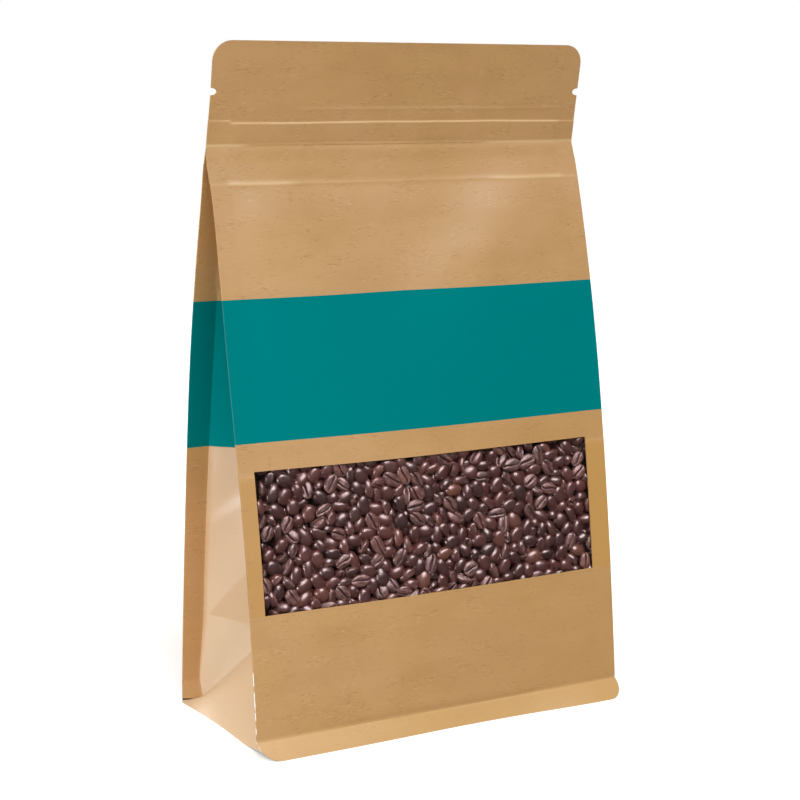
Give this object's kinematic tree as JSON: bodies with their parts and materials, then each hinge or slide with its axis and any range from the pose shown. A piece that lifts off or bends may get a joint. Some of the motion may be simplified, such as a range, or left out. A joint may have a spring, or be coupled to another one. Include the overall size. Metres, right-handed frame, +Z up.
{
  "type": "stand-up zipper pouch",
  "caption": "Kraft-paper flat-bottom stand-up pouch, sealed shut, with side gussets, a press-to-close header, a printed band and a clear window showing roasted coffee beans.",
  "frame": {"origin": "on the floor, under the middle of the pouch's footprint", "axes": "+Z up, the front panel with the window faces -Y, +X to the right as seen from the front"},
  "size_m": [0.163, 0.0884, 0.2639],
  "materials": {
    "kraft_paper": "matt kraft-paper laminate with a faint sheen and fine fibre streaks",
    "clear_film": "clear glossy film",
    "roasted_beans": "dark roasted coffee, slightly oily sheen"
  },
  "bodies": {
    "root": {"pouch": "kraft_paper", "window_film": "clear_film", "beans": "roasted_beans"}
  },
  "joints": []
}
